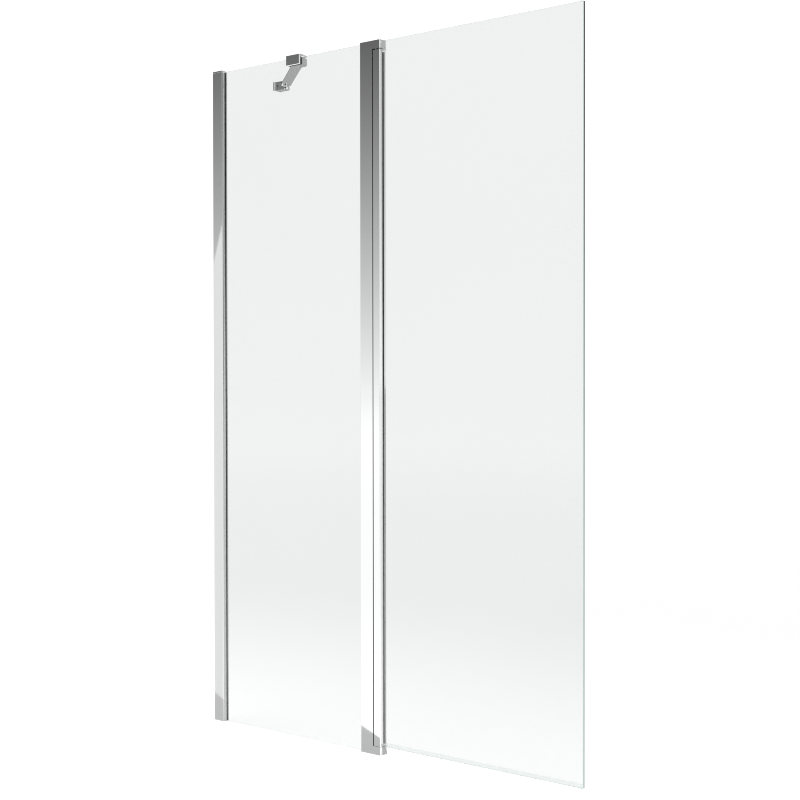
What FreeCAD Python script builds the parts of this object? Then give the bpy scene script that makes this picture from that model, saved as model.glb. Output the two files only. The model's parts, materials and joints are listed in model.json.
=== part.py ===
import FreeCAD, Part
import math
import os

# Two-part bath screen: a fixed glass panel in an adjustable wall jamb, a hinge post,
# a swinging glass panel, and a stabiliser arm from the glass back to the wall.
# X runs along the screen from the wall (X = 0) to the free edge, Y = 0 is the middle of the
# glass with the bath on +Y, and Z = 0 is the bath rim. All sizes are in millimetres.

# Screen
SCREEN_WIDTH = 1000.0           # wall face to the free edge of the swinging glass
SCREEN_HEIGHT = 1500.0          # bath rim to the top of both panes
GLASS_THICKNESS = 6.0
GLASS_ARRIS = 0.8               # ground chamfer on every glass edge
GLASS_CORNER = 1.5              # dubbed corners of a pane
GLASS_EDGE_GAP = 0.8            # glass edge to the floor of its pocket
EDGE_ROUND = 0.6                # smallest corner radius of the aluminium extrusions

# Wall channel
CHANNEL_WIDTH = 30.5
CHANNEL_DEPTH = 18.0
CHANNEL_ROUND = 0.5
CHANNEL_WALL = 1.5
CHANNEL_BACK = 2.0
CHANNEL_CAP = 4.0               # height of the cap on the channel's top end
CHANNEL_RISE = 2.2              # top of that cap above the glass
CHANNEL_CAP_GAP = 0.4           # glass to the slot in the cap
CHANNEL_CAP_BEVEL = 0.8         # lower long edges of the cap
CHANNEL_TENON_WIDTH = 3.0
CHANNEL_TENON_DEPTH = 12.0
WALL_HOLE = 5.0                 # diameter of the wall screw holes
WALL_HOLE_OUTER_INSET = 60.0    # outer pair, from each end of the screen
WALL_HOLE_INNER_INSET = 520.0   # inner pair, from each end of the screen

# Jamb that slides in the channel
JAMB_LENGTH = 19.5
JAMB_PROUD = 2.2                # how far the jamb stands out of the channel as photographed
JAMB_WALL = 2.8
JAMB_GRIP = 10.5                # glass held by the jamb
JAMB_CLEARANCE = 0.2            # jamb to channel, each side
JAMB_TOP_GAP = 0.4              # jamb end to the channel cap
ADJUST_INWARD = 4.0             # travel of the jamb towards the wall
GASKET_LIP = 0.8                # gasket lip past the mouth of its pocket
GASKET_LIP_ROUND = 0.7

# Locking screws of the jamb
LOCK_SCREW_COUNT = 3
LOCK_SCREW_INSET = 150.0        # first and last screw from each end of the screen
LOCK_SCREW_FROM_WALL = 22.0
LOCK_SCREW_SHANK = 4.0
LOCK_SCREW_SOCKET = 2.0         # hex key, across the flats
LOCK_COVER_DIAMETER = 9.0
LOCK_COVER_HEIGHT = 2.5

# Hinge post and pivot profile
POST_FROM_WALL = 452.7
POST_WIDTH = 54.8               # fixed post and pivot profile together
POST_DEPTH = 22.0
POST_ROUND = 1.8                # corners of the pivot profile and the caps on the door side
POST_RISE = 0.8                 # top of the post above the glass
POST_WALL = 1.6
POST_GRIP = 12.5                # glass held by the post
POST_GASKET = 1.5
PIVOT_INSET = 9.3               # pivot axis from the free face of the pivot profile
PIVOT_GRIP = 11.0               # glass held by the pivot profile
HINGE_CLEARANCE = 1.7           # round nose to the hollow of the post
SCREW_PORT = 6.4                # outer diameter of the screw port in the post
PORT_MERGE = 0.3                # overlap of the pivot profile's screw port with its walls
SEAL_WIDTH = 3.0
SEAL_DEPTH = 2.0
SEAL_GAP = 0.3                  # seal to the round nose

# Caps and bearings of the post
CAP_HEIGHT = 17.5
CAP_SLOT_CLEARANCE = 0.25       # cap to the fixed glass, each side
CAP_TONGUE_DEPTH = 12.0
CAP_TONGUE_CLEARANCE = 0.2
BUSH_DIAMETER = 10.0
BUSH_DEPTH = 12.0
PIN_DIAMETER = 6.0
PIN_ENGAGEMENT = 10.0           # pin inside its bush
RUNNING_CLEARANCE = 0.05        # radial clearance of a turning fit
SEAT_CLEARANCE = 0.02           # radial clearance of a fixed fit
TOP_GAP = 2.6                   # pivot profile to the top cap, room to lift the panel out
BOTTOM_GAP = 0.6                # pivot profile to the bottom cap, where the bush carries it
PLATE_THICKNESS = 4.0
PLATE_TONGUE_DEPTH = 8.0
PLATE_TONGUE_CLEARANCE = 0.2

# Swinging glass and its bottom seal
DOOR_LIFT = 17.5                # bath rim to the lower edge of the swinging glass
NOTCH_CLEARANCE = 1.0           # swinging glass to the corners of the caps
NOTCH_FLOOR_GAP = 0.4           # notch to the pivot plate
NOTCH_RADIUS = 3.0
SEAL_GRIP_HEIGHT = 9.0
SEAL_GRIP_GAP = 0.05            # bottom seal to the glass inside its grip
SEAL_WALL = 1.2
SEAL_END_GAP = 1.0              # bottom seal back from the ends of the glass edge
WIPER_TIP = 1.0                 # thickness of the wiper's tip
WIPER_LIFT = 0.5                # wiper tip above the bath rim
WIPER_LEAN = 2.2                # wiper tip towards the bath

# Stabiliser arm
ARM_THICKNESS = 5.0
ARM_WIDTH = 24.0
ARM_EYE_RADIUS = 8.0
ARM_CLAMP_TAPER = 24.0          # from the eye's centre in the clamp to the full width
ARM_BRACKET_TAPER = 14.0        # from the eye's centre in the wall bracket to the full width
ARM_CENTRE_ABOVE_TOP = 1.0      # middle of the arm above the glass top
ARM_CHAMFER = 0.8
FORK_GAP = 0.2                  # arm to each cheek of its forks
EYE_GAP = 0.3                   # arm eye to the bottom of its fork

# Clamp on the fixed glass
CLAMP_FROM_WALL = 253.0
CLAMP_WIDTH = 40.6
CLAMP_HEIGHT = 22.0
CLAMP_ABOVE_GLASS = 5.8
CLAMP_FRONT = 3.2               # thickness of the front plate
CLAMP_WEB = 9.5                 # between the glass slot and the fork
CLAMP_REAR = 6.5                # fork cheeks behind the pivot
CLAMP_REAR_ROUND = 14.0
CLAMP_PAD = 1.2
FITTING_CHAMFER = 0.7           # broken edges of the clamp and the wall bracket
GRUB_DIAMETER = 4.0
GRUB_SOCKET = 2.0               # hex key, across the flats
GRUB_LENGTH = 20.0
GRUB_SPACING = 22.0

# Wall bracket of the arm
BRACKET_FROM_GLASS = 206.0
BRACKET_PIVOT_FROM_WALL = 27.5
BRACKET_LENGTH = 27.0
BRACKET_HEIGHT = 20.0
BRACKET_PLATE = 3.3
BRACKET_FORK_WIDTH = 21.0
STUD_BORE = 9.0                 # diameter of the bore for the wall stud
STUD_BORE_DEPTH = 15.0
STUD_SCREW_FROM_WALL = 11.5
SET_SCREW_DIAMETER = 5.0
SET_SCREW_SOCKET = 2.5          # hex key, across the flats
SET_SCREW_TURN = -45.0          # direction from the pivot to the screw's head, in degrees from +X
SET_SCREW_RECESS = 2.0          # head below the bracket's face

# Screws
PORT_SCREW_SHANK = 3.4
PORT_SCREW_HEAD = 6.4
PORT_SCREW_SINK = 1.8
PORT_SCREW_SOCKET = 2.0         # hex key, across the flats
PORT_SCREW_LENGTH = 28.0
PLATE_SCREW_LENGTH = 20.0
SCREW_HOLE_CLEARANCE = 0.25
PIVOT_SCREW_SHANK = 5.0
PIVOT_SCREW_SOCKET = 2.5        # hex key, across the flats
PIVOT_SCREW_RECESS = 0.5        # socket end below the face of its cheek
PIVOT_SCREW_COVER = 0.9         # metal left past the screw's tip
SOCKET_DEPTH = 1.2

# Places worked out from the driving sizes
half_glass = GLASS_THICKNESS / 2
half_channel = CHANNEL_DEPTH / 2
half_post = POST_DEPTH / 2
channel_cap_top = SCREEN_HEIGHT + CHANNEL_RISE
channel_top = channel_cap_top - CHANNEL_CAP
jamb_right = CHANNEL_WIDTH + JAMB_PROUD
jamb_left = jamb_right - JAMB_LENGTH
jamb_half = half_channel - CHANNEL_WALL - JAMB_CLEARANCE
jamb_pocket_half = jamb_half - JAMB_WALL
fixed_glass_left = jamb_right - JAMB_GRIP
jamb_floor = fixed_glass_left - GLASS_EDGE_GAP
jamb_top = channel_top - JAMB_TOP_GAP

post_right = POST_FROM_WALL + POST_WIDTH
post_bottom = CAP_HEIGHT
post_cap_top = SCREEN_HEIGHT + POST_RISE
post_top = post_cap_top - CAP_HEIGHT
post_pocket_half = half_glass + POST_GASKET
fixed_glass_right = POST_FROM_WALL + POST_GRIP
post_floor = fixed_glass_right + GLASS_EDGE_GAP
pivot_x = post_right - PIVOT_INSET
nose_radius = math.hypot(PIVOT_INSET, half_post)
socket_radius = nose_radius + HINGE_CLEARANCE
socket_left = pivot_x - socket_radius
post_web_left = post_floor + POST_WALL
post_web_right = socket_left - SEAL_DEPTH - POST_WALL
post_port_x = (post_web_left + post_web_right) / 2

door_bottom = CAP_HEIGHT + BOTTOM_GAP
door_top = post_top - TOP_GAP
profile_bottom = door_bottom + PLATE_THICKNESS
profile_top = door_top - PLATE_THICKNESS
door_glass_left = post_right - PIVOT_GRIP
door_floor = door_glass_left - GLASS_EDGE_GAP
door_port_left = pivot_x - nose_radius + POST_WALL
door_port_right = door_floor - POST_WALL
door_port_x = (door_port_left + door_port_right) / 2
door_port_radius = (door_port_right - door_port_left) / 2 + PORT_MERGE
sweep_clear_x = pivot_x + nose_radius + NOTCH_CLEARANCE

arm_middle = SCREEN_HEIGHT + ARM_CENTRE_ABOVE_TOP
arm_bottom = arm_middle - ARM_THICKNESS / 2
arm_top = arm_middle + ARM_THICKNESS / 2
fork_bottom = arm_bottom - FORK_GAP
fork_top = arm_top + FORK_GAP
clamp_slot_half = half_glass + CLAMP_PAD
clamp_bottom = SCREEN_HEIGHT + CLAMP_ABOVE_GLASS - CLAMP_HEIGHT
clamp_top = SCREEN_HEIGHT + CLAMP_ABOVE_GLASS
clamp_fork_y = clamp_slot_half + CLAMP_WEB
clamp_pivot_y = clamp_fork_y + EYE_GAP + ARM_EYE_RADIUS
clamp_rear = clamp_pivot_y + CLAMP_REAR
clamp_left = CLAMP_FROM_WALL - CLAMP_WIDTH / 2
clamp_right = CLAMP_FROM_WALL + CLAMP_WIDTH / 2
bracket_bottom = arm_middle - BRACKET_HEIGHT / 2
bracket_top = arm_middle + BRACKET_HEIGHT / 2
bracket_fork_x = BRACKET_PIVOT_FROM_WALL - ARM_EYE_RADIUS - EYE_GAP
set_screw_reach = BRACKET_FORK_WIDTH / 2 - SET_SCREW_RECESS

UP = FreeCAD.Vector(0, 0, 1)
DOWN = FreeCAD.Vector(0, 0, -1)
ALONG_X = FreeCAD.Vector(1, 0, 0)
ALONG_Y = FreeCAD.Vector(0, 1, 0)
BACK_Y = FreeCAD.Vector(0, -1, 0)
SPARE = 1.0                     # how far a cutting tool runs past the face that it opens
NEAR = 0.001                    # places closer than this count as the same


# Basic shapes
def point(x, y, z):
    return FreeCAD.Vector(x, y, z)


def block(x0, x1, y0, y1, z0, z1):
    return Part.makeBox(x1 - x0, y1 - y0, z1 - z0, point(x0, y0, z0))


def rod(radius, start, direction, length):
    return Part.makeCylinder(radius, length, start, direction)


def upright_edges(solid):
    height = solid.BoundBox.ZLength
    return [edge for edge in solid.Edges if abs(edge.BoundBox.ZLength - height) < NEAR]


def level_edges(solid, z):
    box_ends = [(edge, edge.BoundBox.ZMin, edge.BoundBox.ZMax) for edge in solid.Edges]
    return [edge for edge, low, high in box_ends if abs(low - z) < NEAR and abs(high - z) < NEAR]


def rounded_block(x0, x1, y0, y1, z0, z1, radius):
    solid = block(x0, x1, y0, y1, z0, z1)
    return solid.makeFillet(radius, upright_edges(solid))


def fuse_all(first, others):
    return first.multiFuse(others).removeSplitter()


def cut_all(solid, tools):
    for tool in tools:
        solid = solid.cut(tool)
    return solid


def extruded_outline(points, direction):
    wire = Part.makePolygon(points + [points[0]])
    return Part.Face(wire).extrude(direction)


def mirrored_pair(solid):
    return [solid, solid.mirror(point(0, 0, 0), ALONG_Y)]


def save(name, solids):
    for number, solid in enumerate(solids):
        if not solid.isValid() or solid.Volume <= 0:
            raise ValueError("bad solid " + name + " " + str(number))
    shape = solids[0] if len(solids) == 1 else Part.makeCompound(solids)
    shape.exportStep(os.path.join("parts", name + ".step"))


# Screws, made with the head's face at the origin and the tip along +Z, then placed
def placed(solid, head_centre, inward):
    turn = FreeCAD.Rotation(UP, inward)
    solid.Placement = FreeCAD.Placement(head_centre, turn)
    return solid


def hex_socket(across_flats):
    corner = across_flats / math.sqrt(3)
    corners = [
        point(corner * math.cos(math.radians(turn)), corner * math.sin(math.radians(turn)), -SPARE)
        for turn in range(0, 360, 60)
    ]
    return extruded_outline(corners, UP * (SOCKET_DEPTH + SPARE))


def countersunk_screw(head, shank, sink, length, socket):
    cone = Part.makeCone(head / 2, shank / 2, sink, point(0, 0, 0), UP)
    stem = rod(shank / 2, point(0, 0, sink / 2), UP, length - sink / 2)
    return fuse_all(cone, [stem]).cut(hex_socket(socket))


def grub_screw(diameter, length, socket):
    return rod(diameter / 2, point(0, 0, 0), UP, length).cut(hex_socket(socket))


# Wall channel
def wall_hole_heights():
    outer = [WALL_HOLE_OUTER_INSET, SCREEN_HEIGHT - WALL_HOLE_OUTER_INSET]
    inner = [WALL_HOLE_INNER_INSET, SCREEN_HEIGHT - WALL_HOLE_INNER_INSET]
    return outer + inner


def lock_screw_heights():
    reach = SCREEN_HEIGHT - 2 * LOCK_SCREW_INSET
    step = reach / (LOCK_SCREW_COUNT - 1)
    return [LOCK_SCREW_INSET + step * number for number in range(LOCK_SCREW_COUNT)]


def wall_channel():
    solid = rounded_block(0, CHANNEL_WIDTH, -half_channel, half_channel, 0, channel_top, CHANNEL_ROUND)
    inner = half_channel - CHANNEL_WALL
    tools = [block(CHANNEL_BACK, CHANNEL_WIDTH + SPARE, -inner, inner, -SPARE, channel_top + SPARE)]
    for height in wall_hole_heights():
        start = point(-SPARE, 0, height)
        tools.append(rod(WALL_HOLE / 2, start, ALONG_X, CHANNEL_BACK + 2 * SPARE))
    for height in lock_screw_heights():
        start = point(LOCK_SCREW_FROM_WALL, inner - SPARE, height)
        radius = LOCK_SCREW_SHANK / 2 + SEAT_CLEARANCE
        tools.append(rod(radius, start, ALONG_Y, CHANNEL_WALL + 2 * SPARE))
    return cut_all(solid, tools)


def wall_top_cap():
    lid = rounded_block(0, CHANNEL_WIDTH, -half_channel, half_channel, channel_top, channel_cap_top,
                        CHANNEL_ROUND)
    slot_left = fixed_glass_left - ADJUST_INWARD - GLASS_EDGE_GAP
    slot_half = half_glass + CAP_SLOT_CLEARANCE
    slot = block(slot_left, CHANNEL_WIDTH + SPARE, -slot_half, slot_half,
                 channel_top - SPARE, SCREEN_HEIGHT + CHANNEL_CAP_GAP)
    past = half_channel + SPARE
    wedge = extruded_outline([
        point(-SPARE, past, channel_top - SPARE),
        point(-SPARE, half_channel - CHANNEL_CAP_BEVEL - SPARE, channel_top - SPARE),
        point(-SPARE, past, channel_top + CHANNEL_CAP_BEVEL + SPARE),
    ], ALONG_X * (CHANNEL_WIDTH + 2 * SPARE))
    tenon_half = half_channel - CHANNEL_WALL
    tenon = block(CHANNEL_BACK, CHANNEL_BACK + CHANNEL_TENON_WIDTH, -tenon_half, tenon_half,
                  channel_top - CHANNEL_TENON_DEPTH, channel_top)
    return fuse_all(cut_all(lid, mirrored_pair(wedge) + [slot]), [tenon])


def lock_screws():
    # Flush screws in the channel's bath side that pinch the jamb.
    screws = []
    length = half_channel - jamb_half - RUNNING_CLEARANCE
    for height in lock_screw_heights():
        screw = grub_screw(LOCK_SCREW_SHANK, length, LOCK_SCREW_SOCKET)
        screws.append(placed(screw, point(LOCK_SCREW_FROM_WALL, half_channel, height), BACK_Y))
    return screws


def lock_screw_covers():
    covers = []
    for height in lock_screw_heights():
        seat = point(LOCK_SCREW_FROM_WALL, half_channel, height)
        covers.append(rod(LOCK_COVER_DIAMETER / 2, seat, ALONG_Y, LOCK_COVER_HEIGHT))
    return covers


# Jamb and fixed glass
def jamb_profile():
    solid = rounded_block(jamb_left, jamb_right, -jamb_half, jamb_half, 0, jamb_top, EDGE_ROUND)
    inner = jamb_pocket_half
    pocket = block(jamb_floor, jamb_right + SPARE, -inner, inner, -SPARE, jamb_top + SPARE)
    chamber = block(jamb_left + JAMB_WALL, jamb_floor - JAMB_WALL, -inner, inner, -SPARE, jamb_top + SPARE)
    return cut_all(solid, [pocket, chamber])


def gasket(x_inner, x_mouth, outward, y_outer, z0, z1):
    # A strip between the glass and its pocket wall, with a rounded lip past the pocket's mouth.
    x_lip = x_mouth + outward * GASKET_LIP
    strip = block(min(x_inner, x_lip), max(x_inner, x_lip), half_glass, y_outer, z0, z1)
    lip_edge = [
        edge for edge in upright_edges(strip)
        if abs(edge.BoundBox.XMin - x_lip) < NEAR and abs(edge.BoundBox.YMin - y_outer) < NEAR
    ]
    return strip.makeFillet(GASKET_LIP_ROUND, lip_edge)


def jamb_gaskets():
    return mirrored_pair(gasket(fixed_glass_left, jamb_right, 1, jamb_pocket_half, 0, jamb_top))


def pane(x0, x1, z0, z1, notches):
    solid = block(x0, x1, -half_glass, half_glass, z0, z1)
    corners = []
    for edge in solid.Edges:
        if edge.BoundBox.YLength > GLASS_THICKNESS / 2:
            corners.append(edge)
    solid = solid.makeChamfer(GLASS_CORNER, corners)
    solid = cut_all(solid, notches)
    rims = [edge for edge in solid.Edges if edge.BoundBox.YLength < NEAR]
    return solid.makeChamfer(GLASS_ARRIS, rims)


def fixed_glass():
    return pane(fixed_glass_left, fixed_glass_right, 0, SCREEN_HEIGHT, [])


# Hinge post
def hinge_post():
    # A hollow section: a glass pocket, a round hollow for the nose, and a web with a screw port.
    run_low = post_bottom - SPARE
    run_high = post_top + SPARE
    run = run_high - run_low
    axis_foot = point(pivot_x, 0, run_low)
    port_foot = point(post_port_x, 0, run_low)
    wall = POST_WALL
    inner = half_post - wall
    pocket_wall = post_pocket_half + wall
    boss = SEAL_WIDTH / 2 + wall
    outer = rounded_block(POST_FROM_WALL, pivot_x, -half_post, half_post, post_bottom, post_top, EDGE_ROUND)
    cavity = block(POST_FROM_WALL + wall, pivot_x, -inner, inner, run_low, run_high)
    cavity = cut_all(cavity, [
        block(POST_FROM_WALL, post_web_left, -pocket_wall, pocket_wall, run_low, run_high),
        rod(socket_radius + wall, axis_foot, UP, run),
        block(post_web_right, pivot_x, -boss, boss, run_low, run_high),
        block(post_web_left, post_web_right, -wall / 2, wall / 2, run_low, run_high),
        rod(SCREW_PORT / 2, port_foot, UP, run),
    ])
    return cut_all(outer, [
        rod(socket_radius, axis_foot, UP, run),
        cavity,
        block(POST_FROM_WALL - SPARE, post_floor, -post_pocket_half, post_pocket_half, run_low, run_high),
        block(socket_left - SEAL_DEPTH, pivot_x, -SEAL_WIDTH / 2, SEAL_WIDTH / 2, run_low, run_high),
        rod(PORT_SCREW_SHANK / 2 + SEAT_CLEARANCE, port_foot, UP, run),
    ])


def post_gaskets():
    strip = gasket(fixed_glass_right, POST_FROM_WALL, -1, post_pocket_half, post_bottom, post_top)
    return mirrored_pair(strip)


def pivot_seal():
    # A strip in the post's groove whose face follows the round nose at a small gap.
    low = post_bottom
    tall = post_top - post_bottom
    strip = block(socket_left - SEAL_DEPTH, pivot_x, -SEAL_WIDTH / 2, SEAL_WIDTH / 2, low, post_top)
    return strip.cut(rod(nose_radius + SEAL_GAP, point(pivot_x, 0, low), UP, tall))


def post_cap(outer_face, inner_face):
    # A full-width end of the post. The inner face meets the post and carries the bush.
    outward = 1 if outer_face > inner_face else -1
    inward = UP * -outward
    low = min(outer_face, inner_face)
    high = max(outer_face, inner_face)
    solid = block(POST_FROM_WALL, post_right, -half_post, half_post, low, high)
    door_side = [edge for edge in upright_edges(solid) if edge.BoundBox.XMin > pivot_x]
    solid = solid.makeFillet(POST_ROUND, door_side)
    fixed_side = [edge for edge in upright_edges(solid) if edge.BoundBox.XMax < POST_FROM_WALL + NEAR]
    solid = solid.makeFillet(EDGE_ROUND, fixed_side)
    x0 = POST_FROM_WALL + POST_WALL + CAP_TONGUE_CLEARANCE
    y0 = post_pocket_half + POST_WALL + CAP_TONGUE_CLEARANCE
    y1 = half_post - POST_WALL - CAP_TONGUE_CLEARANCE
    tongue_end = inner_face - outward * CAP_TONGUE_DEPTH
    tongue = block(x0, post_web_left, y0, y1, min(inner_face, tongue_end), max(inner_face, tongue_end))
    solid = fuse_all(solid, mirrored_pair(tongue))
    slot_half = half_glass + CAP_SLOT_CLEARANCE
    bush_foot = point(pivot_x, 0, inner_face)
    head_face = point(post_port_x, 0, outer_face)
    tools = [
        block(POST_FROM_WALL - SPARE, post_floor, -slot_half, slot_half, low - SPARE, high + SPARE),
        rod(BUSH_DIAMETER / 2 + SEAT_CLEARANCE, bush_foot, UP * outward, BUSH_DEPTH),
        rod(PORT_SCREW_SHANK / 2 + SCREW_HOLE_CLEARANCE, head_face, inward, CAP_HEIGHT + SPARE),
        placed(screw_seat(), head_face, inward),
    ]
    return cut_all(solid, tools)


def screw_seat():
    # The countersink for a port screw, a little wider than its head.
    head_radius = PORT_SCREW_HEAD / 2 + SCREW_HOLE_CLEARANCE
    shank_radius = PORT_SCREW_SHANK / 2 + SCREW_HOLE_CLEARANCE
    return Part.makeCone(head_radius, shank_radius, PORT_SCREW_SINK, point(0, 0, 0), UP)


def port_screw(length, head_face, inward):
    screw = countersunk_screw(PORT_SCREW_HEAD, PORT_SCREW_SHANK, PORT_SCREW_SINK, length,
                              PORT_SCREW_SOCKET)
    return placed(screw, head_face, inward)


def cap_screws():
    return [
        port_screw(PORT_SCREW_LENGTH, point(post_port_x, 0, post_cap_top), DOWN),
        port_screw(PORT_SCREW_LENGTH, point(post_port_x, 0, 0), UP),
    ]


def bush(cap_face, outward, proud):
    # A plain sleeve: outward points from the pivot profile into the cap.
    foot = point(pivot_x, 0, cap_face) - outward * proud
    length = BUSH_DEPTH + proud
    sleeve = rod(BUSH_DIAMETER / 2, foot, outward, length)
    return sleeve.cut(rod(PIN_DIAMETER / 2 + RUNNING_CLEARANCE, foot, outward, length))


def pivot_bushes():
    # The lower one stands out of its cap and carries the swinging panel.
    return [bush(post_top, UP, 0), bush(post_bottom, DOWN, BOTTOM_GAP)]


# Pivot profile and swinging glass
def nose_outline(z0, z1, inset):
    # The moving section: a round nose about the pivot axis and a straight free end.
    half = half_post - inset
    corner = max(POST_ROUND - inset, EDGE_ROUND)
    ring = rod(nose_radius - inset, point(pivot_x, 0, z0), UP, z1 - z0)
    slab = rounded_block(pivot_x - nose_radius, post_right - inset, -half, half, z0, z1, corner)
    right = block(pivot_x, post_right, -half_post, half_post, z0, z1)
    return fuse_all(ring.common(slab), [slab.common(right)])


def pivot_profile():
    low = profile_bottom
    high = profile_top
    run_low = low - SPARE
    run_high = high + SPARE
    run = run_high - run_low
    outer = nose_outline(low, high, 0)
    cavity = nose_outline(run_low, run_high, POST_WALL)
    pocket_wall = post_pocket_half + POST_WALL
    port_foot = point(door_port_x, 0, run_low)
    cavity = cut_all(cavity, [
        block(door_floor - POST_WALL, post_right, -pocket_wall, pocket_wall, run_low, run_high),
        rod(door_port_radius, port_foot, UP, run),
    ])
    pocket = block(door_floor, post_right + SPARE, -post_pocket_half, post_pocket_half, run_low, run_high)
    bore = rod(PORT_SCREW_SHANK / 2 + SEAT_CLEARANCE, port_foot, UP, run)
    return cut_all(outer, [cavity, pocket, bore])


def door_gaskets():
    strip = gasket(door_glass_left, post_right, 1, post_pocket_half, profile_bottom, profile_top)
    return mirrored_pair(strip)


def pivot_plate(outer_face, inner_face):
    # An end plate of the pivot profile with two tongues in its hollow legs.
    outward = 1 if outer_face > inner_face else -1
    inward = UP * -outward
    low = min(outer_face, inner_face)
    high = max(outer_face, inner_face)
    solid = nose_outline(low, high, 0)
    tongue_end = inner_face - outward * PLATE_TONGUE_DEPTH
    y0 = post_pocket_half + POST_WALL + PLATE_TONGUE_CLEARANCE
    y1 = half_post - POST_WALL - PLATE_TONGUE_CLEARANCE
    x1 = post_right - max(POST_ROUND, POST_WALL) - PLATE_TONGUE_CLEARANCE
    tongue = block(pivot_x, x1, y0, y1, min(inner_face, tongue_end), max(inner_face, tongue_end))
    solid = fuse_all(solid, mirrored_pair(tongue))
    head_face = point(door_port_x, 0, outer_face)
    tools = [
        rod(PIN_DIAMETER / 2 + SEAT_CLEARANCE, point(pivot_x, 0, low), UP, PLATE_THICKNESS),
        rod(PORT_SCREW_SHANK / 2 + SCREW_HOLE_CLEARANCE, head_face, inward, PLATE_THICKNESS),
        placed(screw_seat(), head_face, inward),
    ]
    return cut_all(solid, tools)


def pivot_plates():
    return [pivot_plate(door_top, profile_top), pivot_plate(door_bottom, profile_bottom)]


def pivot_pin(plate_inner_face, cap_face):
    end = cap_face + math.copysign(PIN_ENGAGEMENT, cap_face - plate_inner_face)
    direction = UP if end > plate_inner_face else DOWN
    return rod(PIN_DIAMETER / 2, point(pivot_x, 0, plate_inner_face), direction, abs(end - plate_inner_face))


def pivot_pins():
    return [pivot_pin(profile_top, post_top), pivot_pin(profile_bottom, post_bottom)]


def plate_screws():
    top_head = point(door_port_x, 0, door_top)
    bottom_head = point(door_port_x, 0, door_bottom)
    return [
        port_screw(PLATE_SCREW_LENGTH, top_head, DOWN),
        port_screw(PLATE_SCREW_LENGTH, bottom_head, UP),
    ]


def corner_notch(x1, z0, z1):
    # The corner cut from the glass, with a round inner corner on the free side.
    solid = block(door_glass_left - SPARE, x1, -half_glass - SPARE, half_glass + SPARE, z0, z1)
    inner_z = z0 if z1 > SCREEN_HEIGHT / 2 else z1
    inner = [
        edge for edge in solid.Edges
        if edge.BoundBox.YLength > GLASS_THICKNESS
        and abs(edge.BoundBox.XMin - x1) < NEAR
        and abs(edge.BoundBox.ZMin - inner_z) < NEAR
    ]
    return solid.makeFillet(NOTCH_RADIUS, inner)


def door_glass():
    top_notch = corner_notch(sweep_clear_x, profile_top - NOTCH_FLOOR_GAP, SCREEN_HEIGHT + SPARE)
    bottom_notch = corner_notch(sweep_clear_x, DOOR_LIFT - SPARE, profile_bottom + NOTCH_FLOOR_GAP)
    return pane(door_glass_left, SCREEN_WIDTH, DOOR_LIFT, SCREEN_HEIGHT, [top_notch, bottom_notch])


def bottom_seal():
    # A clip over the glass edge with a wiper that leans towards the bath.
    x0 = sweep_clear_x + SEAL_END_GAP
    x1 = SCREEN_WIDTH - SEAL_END_GAP
    inner = half_glass + SEAL_GRIP_GAP
    outer = inner + SEAL_WALL
    grip_top = DOOR_LIFT + SEAL_GRIP_HEIGHT
    seat = DOOR_LIFT - SEAL_GRIP_GAP
    base = seat - SEAL_WALL
    half_tip = WIPER_TIP / 2
    outline = [
        point(x0, -outer, grip_top), point(x0, -inner, grip_top),
        point(x0, -inner, seat), point(x0, inner, seat),
        point(x0, inner, grip_top), point(x0, outer, grip_top),
        point(x0, outer, base), point(x0, SEAL_WALL, base),
        point(x0, WIPER_LEAN + half_tip, WIPER_LIFT), point(x0, WIPER_LEAN - half_tip, WIPER_LIFT),
        point(x0, -SEAL_WALL, base), point(x0, -outer, base),
    ]
    return extruded_outline(outline, ALONG_X * (x1 - x0))


# Stabiliser arm
def arm_ends():
    start = point(CLAMP_FROM_WALL, clamp_pivot_y, arm_bottom)
    finish = point(BRACKET_PIVOT_FROM_WALL, BRACKET_FROM_GLASS, arm_bottom)
    return start, finish


def arm_bar():
    # A flat bar with broken edges that narrows to a round eye over each pivot.
    start, finish = arm_ends()
    length = start.distanceToPoint(finish)
    half = ARM_WIDTH / 2
    shoulder = math.sqrt(ARM_EYE_RADIUS ** 2 - (ARM_EYE_RADIUS / 2) ** 2)
    outline = [
        point(ARM_EYE_RADIUS / 2, -shoulder, 0), point(ARM_CLAMP_TAPER, -half, 0),
        point(length - ARM_BRACKET_TAPER, -half, 0), point(length - ARM_EYE_RADIUS / 2, -shoulder, 0),
        point(length - ARM_EYE_RADIUS / 2, shoulder, 0), point(length - ARM_BRACKET_TAPER, half, 0),
        point(ARM_CLAMP_TAPER, half, 0), point(ARM_EYE_RADIUS / 2, shoulder, 0),
    ]
    bar = extruded_outline(outline, UP * ARM_THICKNESS)
    rims = level_edges(bar, 0) + level_edges(bar, ARM_THICKNESS)
    sides = [edge for edge in rims if edge.BoundBox.XLength > NEAR]
    bar = bar.makeChamfer(ARM_CHAMFER, sides)
    eyes = []
    bores = []
    for x in (0, length):
        foot = point(x, 0, 0)
        eyes.append(rod(ARM_EYE_RADIUS, foot, UP, ARM_THICKNESS))
        bores.append(rod(PIVOT_SCREW_SHANK / 2 + RUNNING_CLEARANCE, foot, UP, ARM_THICKNESS))
    bar = cut_all(fuse_all(bar, eyes), bores)
    bar.Placement = FreeCAD.Placement(start, FreeCAD.Rotation(ALONG_X, finish - start))
    return bar


def grub_places():
    middle = (clamp_bottom + fork_bottom) / 2
    offset = GRUB_SPACING / 2
    return [(CLAMP_FROM_WALL - offset, middle), (CLAMP_FROM_WALL + offset, middle)]


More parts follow.
